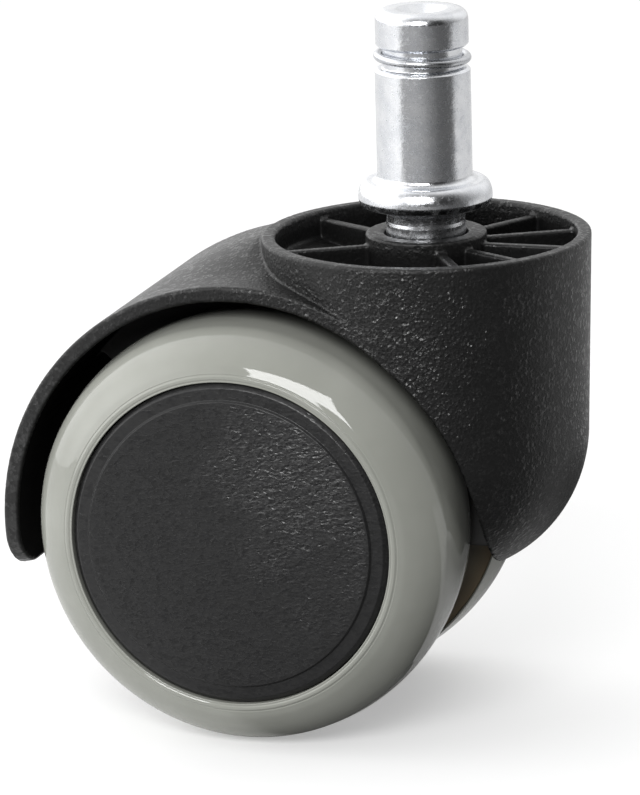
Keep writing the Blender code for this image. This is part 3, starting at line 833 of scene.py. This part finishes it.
def make_hood():
    """Mesh the hood's field, thin out its flat parts and give it the field's own normals."""
    margin = Vector((HOOD_MARGIN,) * 3)
    points, quads = surface_of(hood_field, HOOD_LOW - margin, HOOD_HIGH + margin, HOOD_STEP)
    mesh = bpy.data.meshes.new("moulded_hood")
    mesh.from_pydata(points.tolist(), [], quads.tolist())
    mesh.shade_smooth()
    hood = object_of("moulded_hood", mesh, "black_nylon", "housing", "hood")
    thin = hood.modifiers.new("thin", "DECIMATE")
    thin.ratio = HOOD_TRIANGLES / (2 * len(quads))
    apply_modifiers(hood)
    flat_places = np.zeros(len(hood.data.vertices) * 3)
    hood.data.vertices.foreach_get("co", flat_places)
    places = flat_places.reshape(-1, 3)
    slope = gradient(hood_field, places, NORMAL_REACH)
    slope /= np.linalg.norm(slope, axis=1, keepdims=True)
    hood.data.normals_split_custom_set_from_vertices(slope.tolist())
    # Where the hood is plain and its shade is painted
    mark = hood.data.attributes.new("hollow", "FLOAT", "POINT")
    mark.data.foreach_set("value", hollow_share(places).astype(np.float32))


def stem_outline():
    """The stem from its pin's end to its tip, with its collar, ring groove and dimple."""
    groove_radius = PIN_RADIUS - SNAP_GROOVE_DEPTH
    waist_radius = NECK_RADIUS - 0.06 * MM
    outline = filleted([
        (0.0, PIN_BOTTOM, 0.0),
        (2.6 * MM, PIN_BOTTOM, 0.2 * MM),
        (PIN_RADIUS, PIN_BOTTOM + 1.2 * MM, 0.4 * MM),
        (PIN_RADIUS, SNAP_GROOVE_BOTTOM, 0.1 * MM),
        (groove_radius, SNAP_GROOVE_BOTTOM, 0.1 * MM),
        (groove_radius, SNAP_GROOVE_TOP, 0.1 * MM),
        (PIN_RADIUS, SNAP_GROOVE_TOP, 0.1 * MM),
        (PIN_RADIUS, NECK_BOTTOM - 0.5 * MM, 0.1 * MM),
        (NECK_RADIUS, NECK_BOTTOM, 0.1 * MM),
        (NECK_RADIUS, -3.0 * MM, 0.3 * MM),
        (waist_radius, -2.6 * MM, 0.3 * MM),
        (waist_radius, -1.7 * MM, 0.3 * MM),
        (COLLAR_RADIUS - 1.2 * MM, -0.98 * MM, 0.5 * MM),
        (COLLAR_RADIUS - 0.28 * MM, -0.7 * MM, 0.6 * MM),
        (COLLAR_RADIUS, 0.0, 0.0),
    ])
    for step in range(DOME_STEPS + 1):
        turn = math.pi / 2 * step / DOME_STEPS
        radius = SHOULDER_OUTER_RADIUS + (COLLAR_RADIUS - SHOULDER_OUTER_RADIUS) * math.cos(turn)
        outline.append((radius, DOME_BOTTOM + (SHOULDER_Z - DOME_BOTTOM) * math.sin(turn)))
    for step in range(FLARE_STEPS + 1):
        turn = math.pi / 2 * step / FLARE_STEPS
        outline.append((STEM_RADIUS + FLARE_RADIUS * (1 - math.sin(turn)),
                        SHOULDER_Z + FLARE_RADIUS * (1 - math.cos(turn))))
    bevel = 0.3 * MM
    tip = [
        (STEM_RADIUS, SHOULDER_Z + 2 * FLARE_RADIUS, 0.0),
        (STEM_RADIUS, RING_GROOVE_BOTTOM - bevel, 0.15 * MM),
        (STEM_RADIUS - bevel, RING_GROOVE_BOTTOM, 0.1 * MM),
        (RING_GROOVE_RADIUS, RING_GROOVE_BOTTOM, 0.2 * MM),
        (RING_GROOVE_RADIUS, RING_GROOVE_TOP, 0.2 * MM),
        (STEM_TIP_RADIUS - bevel, RING_GROOVE_TOP, 0.1 * MM),
        (STEM_TIP_RADIUS, RING_GROOVE_TOP + bevel, 0.15 * MM),
        (STEM_TIP_RADIUS, STEM_LENGTH, TIP_ROUND),
        (2.9 * MM, STEM_LENGTH, 0.5 * MM),
        (1.5 * MM, STEM_LENGTH - 0.85 * MM, 0.5 * MM),
        (0.0, STEM_LENGTH - DIMPLE_DEPTH, 0.0),
    ]
    return outline + filleted(tip)


def make_stem():
    """The stem."""
    mesh = finished_mesh("turned_stem", turned(stem_outline()))
    add_weighted_normals(object_of("turned_stem", mesh, "zinc_steel", "stem", "kingpin_stem"))


def make_grip_ring():
    """The split ring of round wire, slightly tilted in the stem's groove."""
    ring_radius = RING_OUTER_RADIUS - RING_WIRE_RADIUS
    middle = Vector((0.0, 0.0, (RING_GROOVE_TOP + RING_GROOVE_BOTTOM) / 2))
    tilt = Matrix.Rotation(RING_TILT, 3, "Y")
    body = bmesh.new()
    sections = []
    for step in range(RING_STEPS + 1):
        turn = math.radians(RING_START_DEG + RING_SWEEP_DEG * step / RING_STEPS)
        out = Vector((math.cos(turn), math.sin(turn), 0.0))
        centre = out * ring_radius
        from_end = min(step, RING_STEPS - step) / RING_END_STEPS
        size = RING_WIRE_RADIUS * math.sqrt(1 - (1 - min(from_end, 1.0)) ** 2 * RING_END_ROUNDING)
        section = []
        for side in range(RING_SIDES):
            angle = math.tau * side / RING_SIDES
            point = centre + out * (size * math.cos(angle)) + Vector((0, 0, size * math.sin(angle)))
            section.append(body.verts.new(middle + tilt @ point))
        sections.append(section)
    for first, second in zip(sections, sections[1:]):
        for side in range(RING_SIDES):
            after = (side + 1) % RING_SIDES
            body.faces.new((first[side], first[after], second[after], second[side]))
    body.faces.new(sections[0])
    body.faces.new(sections[-1])
    object_of("split_grip_ring", finished_mesh("split_grip_ring", body), "spring_steel", "stem", "grip_ring")


def tread_outline():
    """The tyre's section: seat, wrap round the core's flange, crowned band, sloping side and lip."""
    outer_drop = 0.65 * MM
    inner_drop = 0.42 * MM
    half_crown = 4.9 * MM
    crown_steps = 8
    shoulder = [(WHEEL_RADIUS - 0.68 * MM, TREAD_INNER), (WHEEL_RADIUS - 0.53 * MM, TREAD_INNER + 0.15 * MM)]
    for step in range(crown_steps + 1):
        place = -1.0 + 2.0 * step / crown_steps
        drop = (inner_drop if place < 0.0 else outer_drop) * place * place
        shoulder.append((WHEEL_RADIUS - drop, TREAD_MIDDLE + half_crown * place))
    shoulder += [
        (23.6 * MM, 19.0 * MM),
        (22.4 * MM, 20.3 * MM),
        (21.0 * MM, 21.3 * MM),
        (20.1 * MM, 21.7 * MM),
    ]
    seat = CORE_RIM_RADIUS + PRESS_FIT
    lip_bore = CAP_RADIUS + 0.15 * MM
    lip_face = 21.88 * MM
    lip_back = 18.3 * MM
    wrap = CORE_FLANGE_RADIUS + PRESS_FIT
    flange_side = CORE_FLANGE_OUTER + PRESS_FIT
    outline = [(seat, flange_side), (wrap, flange_side), (wrap, TREAD_INNER + PRESS_FIT),
               (wrap + PRESS_FIT, TREAD_INNER)]
    outline += smooth_through(shoulder, SHOULDER_STEPS)
    outline += filleted([
        (20.05 * MM, 21.72 * MM, 0.0),
        (19.95 * MM, 21.70 * MM, 0.08 * MM),
        (19.75 * MM, 21.86 * MM, 0.14 * MM),
        (19.45 * MM, lip_face, 0.14 * MM),
        (19.3 * MM, 21.80 * MM, 0.08 * MM),
        (lip_bore, lip_face, 0.15 * MM),
        (lip_bore, lip_back, 0.1 * MM),
        (seat, lip_back, 0.0),
    ])
    return outline


def cap_outline():
    """The hub cap's section: grained disc, step, rounded rim and the snap skirt behind."""
    disc_back = 20.4 * MM
    rim_back = 19.8 * MM
    skirt_outer = 17.4 * MM
    skirt_inner = 16.2 * MM
    skirt_end = 15.6 * MM
    return filleted([
        (0.0, CAP_FACE, 0.0),
        (CAP_DISC_RADIUS, CAP_FACE, 0.1 * MM),
        (17.0 * MM, CAP_FACE - 0.3 * MM, 0.1 * MM),
        (18.35 * MM, CAP_FACE - 0.36 * MM, 0.3 * MM),
        (CAP_RADIUS, CAP_FACE - 0.85 * MM, 0.3 * MM),
        (CAP_RADIUS, rim_back, 0.1 * MM),
        (skirt_outer, rim_back, 0.1 * MM),
        (skirt_outer, skirt_end, 0.2 * MM),
        (skirt_inner, skirt_end, 0.2 * MM),
        (skirt_inner, disc_back, 0.2 * MM),
        (0.0, disc_back, 0.0),
    ])


def core_outline():
    """The wheel body's section without its spokes: hub, disc, rim and inner flange."""
    bore = AXLE_RADIUS + RUNNING_FIT
    flange_inner = TREAD_INNER + 0.1 * MM
    rim_inner = 17.9 * MM
    rim_end = 18.2 * MM
    hub_end_radius = 7.2 * MM
    hub_end = 17.4 * MM
    return filleted([
        (bore, 12.0 * MM, 0.0),
        (bore, HUB_INNER, 0.15 * MM),
        (CORE_HUB_RADIUS, HUB_INNER, 0.3 * MM),
        (CORE_HUB_RADIUS, CORE_FACE, 0.5 * MM),
        (rim_inner, CORE_FACE, 0.5 * MM),
        (18.3 * MM, flange_inner, 0.3 * MM),
        (CORE_FLANGE_RADIUS, flange_inner, 0.15 * MM),
        (CORE_FLANGE_RADIUS, CORE_FLANGE_OUTER, 0.15 * MM),
        (CORE_RIM_RADIUS, CORE_FLANGE_OUTER, 0.15 * MM),
        (CORE_RIM_RADIUS, rim_end, 0.2 * MM),
        (rim_inner, rim_end, 0.2 * MM),
        (rim_inner, CORE_BACK, 0.3 * MM),
        (hub_end_radius, CORE_BACK, 0.3 * MM),
        (hub_end_radius, hub_end, 0.2 * MM),
        (bore, hub_end, 0.0),
    ])


def make_core(side):
    """The spoked wheel body."""
    mesh = finished_mesh("core", turned(core_outline(), CORE_SEGMENTS), facing(side))
    core = object_of("spoked_core_" + side, mesh, "core_nylon", "wheel_" + side, "wheel_core_" + side)
    spokes = bmesh.new()
    size = (SPOKE_OUTER - SPOKE_INNER, SPOKE_WIDTH, SPOKE_HEIGHT)
    for spoke in range(SPOKES):
        turn = Matrix.Rotation(math.tau * (spoke + 0.5) / SPOKES, 4, "Z")
        place = turn @ Matrix.Translation(((SPOKE_OUTER + SPOKE_INNER) / 2, 0.0, SPOKE_MIDDLE))
        bmesh.ops.create_cube(spokes, size=1.0, matrix=place @ Matrix.Diagonal((*size, 1.0)))
    bmesh.ops.bevel(spokes, geom=spokes.edges[:], offset=SPOKE_BEVEL, segments=2, profile=0.5, affect="EDGES")
    tool = bpy.data.objects.new("spokes_tool", finished_mesh("spokes_tool", spokes, facing(side)))
    bpy.context.scene.collection.objects.link(tool)
    union = core.modifiers.new("spokes", "BOOLEAN")
    union.operation = "UNION"
    union.object = tool
    apply_modifiers(core)
    bpy.data.objects.remove(tool)
    shade(core.data)


def make_wheel(side):
    """One wheel: core, tyre and hub cap."""
    make_core(side)
    body = "wheel_" + side
    tread = finished_mesh("tyre", turned(tread_outline(), TREAD_SEGMENTS), facing(side))
    add_weighted_normals(object_of("tyre_" + side, tread, "grey_polyurethane", body, "tread_" + side))
    cap = finished_mesh("cap", turned(cap_outline()), facing(side))
    add_weighted_normals(object_of("grained_cap_" + side, cap, "cap_nylon", body, "hub_cap_" + side))


def make_washers():
    """The thrust washers between the hood and the wheels."""
    bore = AXLE_RADIUS + PRESS_FIT
    outline = filleted([
        (bore, (WASHER_INNER + WASHER_OUTER) / 2, 0.0),
        (bore, WASHER_INNER, 0.08 * MM),
        (WASHER_RADIUS, WASHER_INNER, 0.12 * MM),
        (WASHER_RADIUS, WASHER_OUTER, 0.12 * MM),
        (bore, WASHER_OUTER, 0.0),
    ])
    for side in SIDES:
        mesh = finished_mesh("washer", turned(outline, WASHER_SEGMENTS), facing(side))
        piece = object_of("steel_washer_" + side, mesh, "spring_steel", "housing", "thrust_washer_" + side)
        add_weighted_normals(piece)


def dress_hidden_nodes():
    """The CAD nodes inside the hood and the hubs keep their shape and get their metal."""
    slots = {
        "stem_snap_ring": "spring_steel",
        "thrust_disc": "spring_steel",
        "axle": "axle_steel",
        "retaining_washer_right": "spring_steel",
        "retaining_washer_left": "spring_steel",
        "axle_clip_right": "spring_steel",
        "axle_clip_left": "spring_steel",
    }
    for name, slot in slots.items():
        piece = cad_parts[name]
        piece.data.materials.clear()
        piece.data.materials.append(MATERIALS[slot]())


# ---------------------------------------------------------------- stage

CAMERA_AZIMUTH = math.radians(17.77)
CAMERA_ELEVATION = math.radians(14.59)
CAMERA_ROLL = math.radians(-1.58)
CAMERA_DISTANCE = 0.649
CAMERA_LENS = 251.76
CAMERA_AIM = Vector((-0.01313, -0.00087, -0.02440))

# The light, by azimuth and elevation in degrees, metres and radiance
WINDOW_DIRECTION = (5.0, 31.0)
WINDOW_DISTANCE = 0.7
WINDOW_WIDTH = 0.40
WINDOW_HEIGHT = 0.27
WINDOW_RADIANCE = 12.0

# Soft glows of the surroundings: azimuth, elevation, full and outer half-angle in degrees, radiance
GLOWS = (
    (190.0, 42.0, 15.0, 95.0, 0.85),
    (-95.0, 12.0, 15.0, 75.0, 1.5),
    (-50.0, 6.0, 10.0, 40.0, 1.3),
    (-20.0, 82.0, 15.0, 60.0, 0.14),
    (125.0, 12.0, 15.0, 60.0, 0.25),
)
SURROUNDINGS = 0.02

# The floor, and the greys of the sheet below it, with the degrees round Z over which they change
FLOOR_RADIUS = 3.0
FLOOR_SEGMENTS = 96
FLOOR_ALBEDO = 0.6
FLOOR_GLOW = 0.36
SHEET_DROP = 0.3 * MM
# Painted shade: the sheet is dark on the camera's side
SHEET_FRONT_SHADE_GREYS = (0.18, 0.055)
SHEET_FRONT_FADE = (-95.0, -35.0)
SHEET_BACK_GREYS = (0.75, 0.6)
SHEET_BACK_FADE_X = (-0.1, 0.1)
SHEET_BACK_STARTS = ((-128.0, -131.0), (3.0, 6.0))
# A painted shadow on the sheet behind the wheels
SHADOW_PATCH_GREY = 0.06
SHADOW_PATCH_CENTRE = (0.03, 0.07, 0.0)
SHADOW_PATCH_FADE = (0.03, 0.06)


def direction(azimuth_deg, elevation_deg):
    """Unit vector towards a light, a glow or the camera: azimuth 0 is -Y and 90 is +X."""
    azimuth, elevation = math.radians(azimuth_deg), math.radians(elevation_deg)
    return Vector((math.sin(azimuth) * math.cos(elevation), -math.cos(azimuth) * math.cos(elevation),
                   math.sin(elevation)))


def make_camera():
    """A long lens from the photo's viewpoint, with its slight roll."""
    back = direction(math.degrees(CAMERA_AZIMUTH), math.degrees(CAMERA_ELEVATION))
    right = Vector((math.cos(CAMERA_AZIMUTH), math.sin(CAMERA_AZIMUTH), 0.0))
    up = back.cross(right)
    rolled_right = right * math.cos(CAMERA_ROLL) + up * math.sin(CAMERA_ROLL)
    rolled_up = up * math.cos(CAMERA_ROLL) - right * math.sin(CAMERA_ROLL)
    lens = bpy.data.cameras.new("camera")
    lens.lens = CAMERA_LENS
    lens.clip_start = 0.01
    camera = bpy.data.objects.new("camera", lens)
    turn = Matrix((rolled_right, rolled_up, back)).transposed().to_4x4()
    camera.matrix_world = Matrix.Translation(CAMERA_AIM + back * CAMERA_DISTANCE) @ turn
    bpy.context.scene.collection.objects.link(camera)
    bpy.context.scene.camera = camera


def plain_material(name, colour, roughness):
    """A stage material."""
    made = bpy.data.materials.new(name)
    made.use_nodes = True
    shader = made.node_tree.nodes["Principled BSDF"]
    shader.inputs["Base Color"].default_value = colour
    shader.inputs["Roughness"].default_value = roughness
    return made


def make_window():
    """A soft rectangular light that looks at the caster from above the camera."""
    lamp = bpy.data.lights.new("window", "AREA")
    lamp.shape = "RECTANGLE"
    lamp.size = WINDOW_WIDTH
    lamp.size_y = WINDOW_HEIGHT
    lamp.energy = WINDOW_RADIANCE * math.pi * WINDOW_WIDTH * WINDOW_HEIGHT
    away = direction(*WINDOW_DIRECTION)
    made = bpy.data.objects.new("window", lamp)
    made.location = CAMERA_AIM + away * WINDOW_DISTANCE
    made.rotation_mode = "QUATERNION"
    made.rotation_quaternion = away.to_track_quat("Z", "Y")
    bpy.context.scene.collection.objects.link(made)


def disc(name, height, material):
    """A flat round sheet of the stage, which casts no shadow."""
    body = bmesh.new()
    bmesh.ops.create_circle(body, cap_ends=True, segments=FLOOR_SEGMENTS, radius=FLOOR_RADIUS)
    mesh = bpy.data.meshes.new(name)
    body.to_mesh(mesh)
    body.free()
    mesh.materials.append(material)
    made = bpy.data.objects.new(name, mesh)
    made.location = (0.0, 0.0, height)
    made.visible_shadow = False
    bpy.context.scene.collection.objects.link(made)
    return made


def bounce_material():
    """The sheet's greys: two in front as painted shade, lighter ones behind, and a painted shadow behind the
    wheels.
    """
    made = plain_material("bounce_grey", grey(0.1), 0.9)
    tree = made.node_tree
    where = node(tree, "ShaderNodeTexCoord").outputs["Object"]
    split = node(tree, "ShaderNodeSeparateXYZ", None, Vector=where)
    turn = maths(tree, "ARCTAN2", split.outputs["Y"], split.outputs["X"])
    front_fade, left_start, right_start = (
        spread(tree, turn, *map(math.radians, edges)) for edges in (SHEET_FRONT_FADE, *SHEET_BACK_STARTS))
    # Painted shade on the camera's side
    front = mixed(tree, front_fade, *map(grey, SHEET_FRONT_SHADE_GREYS))
    back = mixed(tree, spread(tree, split.outputs["X"], *SHEET_BACK_FADE_X), *map(grey, SHEET_BACK_GREYS))
    both = mixed(tree, maths(tree, "ADD", left_start, right_start), front, back)
    # A painted shadow behind the wheels
    off_shadow_patch = spread(tree, distance(tree, where, SHADOW_PATCH_CENTRE), *SHADOW_PATCH_FADE)
    feed(tree, tree.nodes["Principled BSDF"], Base_Color=mixed(tree, off_shadow_patch, grey(SHADOW_PATCH_GREY), both))
    return made


def make_floor():
    """A plain pale floor, and just below it the darker sheet, with painted shade and a painted shadow, that
    the caster reflects in its place.
    """
    pale = plain_material("floor_white", grey(FLOOR_ALBEDO), 0.8)
    glow = pale.node_tree.nodes["Principled BSDF"].inputs
    glow["Emission Color"].default_value = grey(1.0)
    glow["Emission Strength"].default_value = FLOOR_GLOW
    floor = disc("floor", FLOOR_Z, pale)
    floor.visible_diffuse = False
    floor.visible_glossy = False
    floor.visible_transmission = False
    sheet = disc("bounce_sheet", FLOOR_Z - SHEET_DROP, bounce_material())
    sheet.visible_camera = False


def make_world():
    """Soft studio surroundings: dim on the camera's side, with broad glows behind and at the sides."""
    world = bpy.data.worlds.new("studio")
    world.use_nodes = True
    tree = world.node_tree
    background = tree.nodes["Background"]
    where = node(tree, "ShaderNodeTexCoord").outputs["Generated"]
    total = SURROUNDINGS
    for azimuth, elevation, full, outer, radiance in GLOWS:
        towards = node(tree, "ShaderNodeVectorMath", {"operation": "DOT_PRODUCT"}, _0=where,
                       _1=direction(azimuth, elevation)).outputs["Value"]
        glow = node(tree, "ShaderNodeMapRange", {"interpolation_type": "SMOOTHSTEP"}, Value=towards,
                    From_Min=math.cos(math.radians(outer)), From_Max=math.cos(math.radians(full)),
                    To_Min=0.0, To_Max=radiance).outputs["Result"]
        total = maths(tree, "ADD", glow, total)
    seen = node(tree, "ShaderNodeLightPath").outputs["Is Camera Ray"]
    feed(tree, background, Strength=blended(tree, seen, total, 1.0))
    background.inputs["Color"].default_value = (1.0, 1.0, 1.0, 1.0)
    bpy.context.scene.world = world


make_hood()
make_stem()
make_grip_ring()
make_washers()
for wheel_side in SIDES:
    make_wheel(wheel_side)
dress_hidden_nodes()
make_camera()
make_floor()
make_world()
make_window()
bpy.context.scene.view_settings.view_transform = "Standard"
